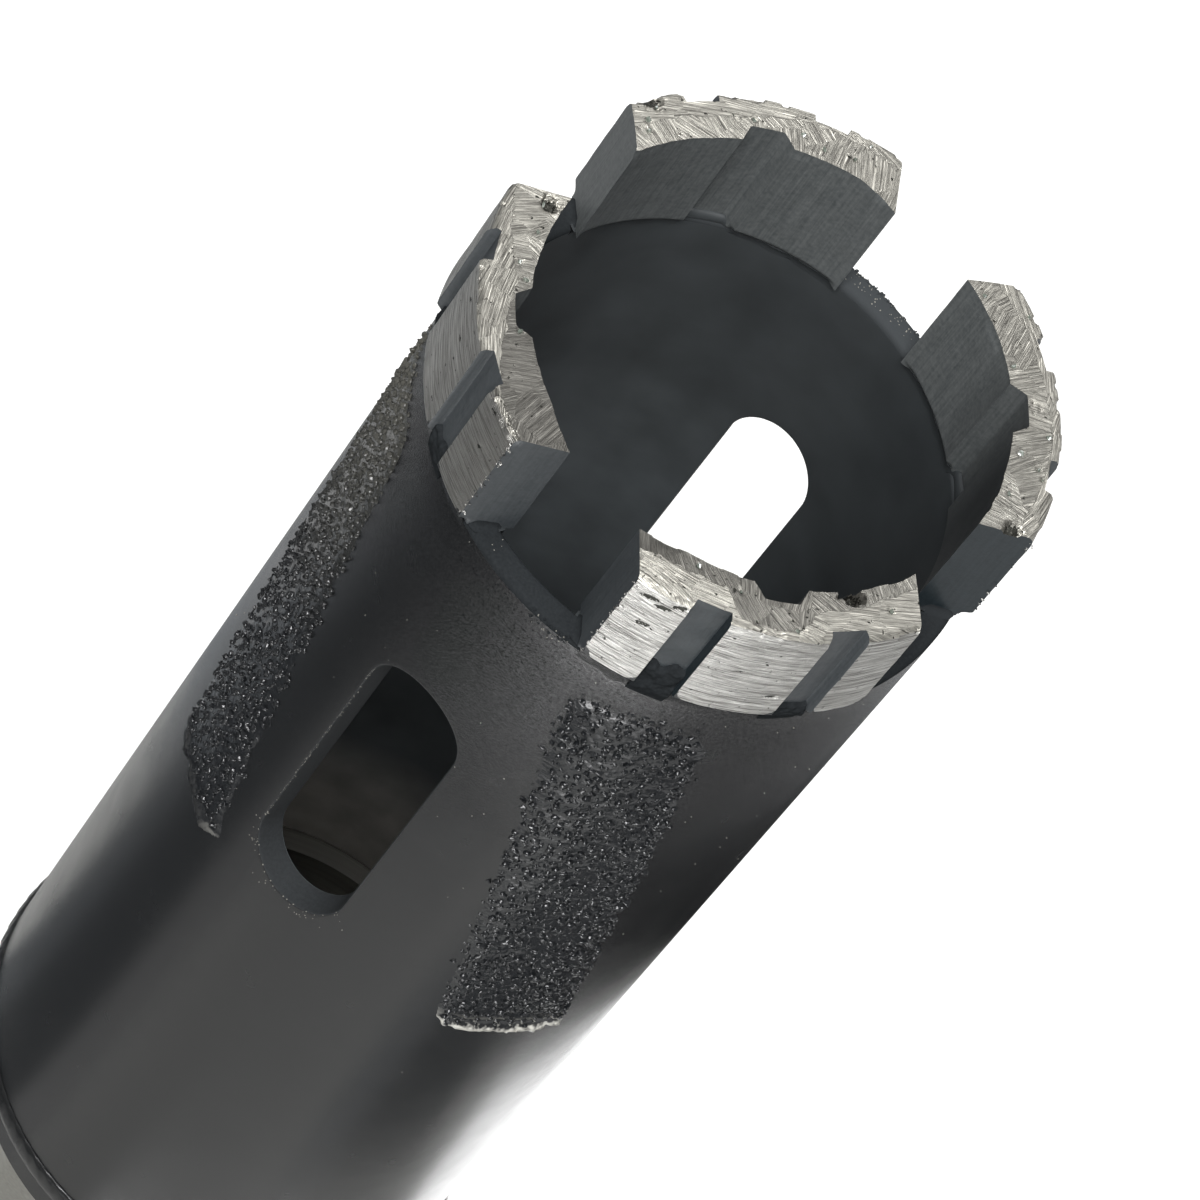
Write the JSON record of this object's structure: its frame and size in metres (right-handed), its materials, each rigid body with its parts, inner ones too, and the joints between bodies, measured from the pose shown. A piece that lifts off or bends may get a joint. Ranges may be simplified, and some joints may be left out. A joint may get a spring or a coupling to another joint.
{
  "type": "diamond core bit",
  "caption": "Slotted steel tube with grooved diamond segments welded to its rim, slanted patches of grit on its side, and a threaded hub with spanner flats at its closed end.",
  "frame": {"origin": "centre of the hub's end face, on which the bit stands", "axes": "+Z along the bit's axis from the hub to the segments, -Y through the middle of one gap between segments, with one cooling slot below it"},
  "size_m": [0.037, 0.037, 0.1242],
  "materials": {
    "tube": "satin black powder coat",
    "segment": "sintered metal, ground on the crown and the outside, with dark coating left in the grooves",
    "weld": "weld bead under the same coating",
    "grit": "coarse bonded grit under the same coating",
    "hub": "turned steel"
  },
  "bodies": {
    "root": {"tube": "tube", "hub": "hub", "hub_weld": "weld", "segment_1": "segment", "segment_2": "segment", "segment_3": "segment", "segment_4": "segment", "segment_weld_1": "weld", "segment_weld_2": "weld", "segment_weld_3": "weld", "segment_weld_4": "weld", "grit_patch_1": "grit", "grit_patch_2": "grit", "grit_patch_3": "grit", "grit_patch_4": "grit"}
  },
  "joints": []
}
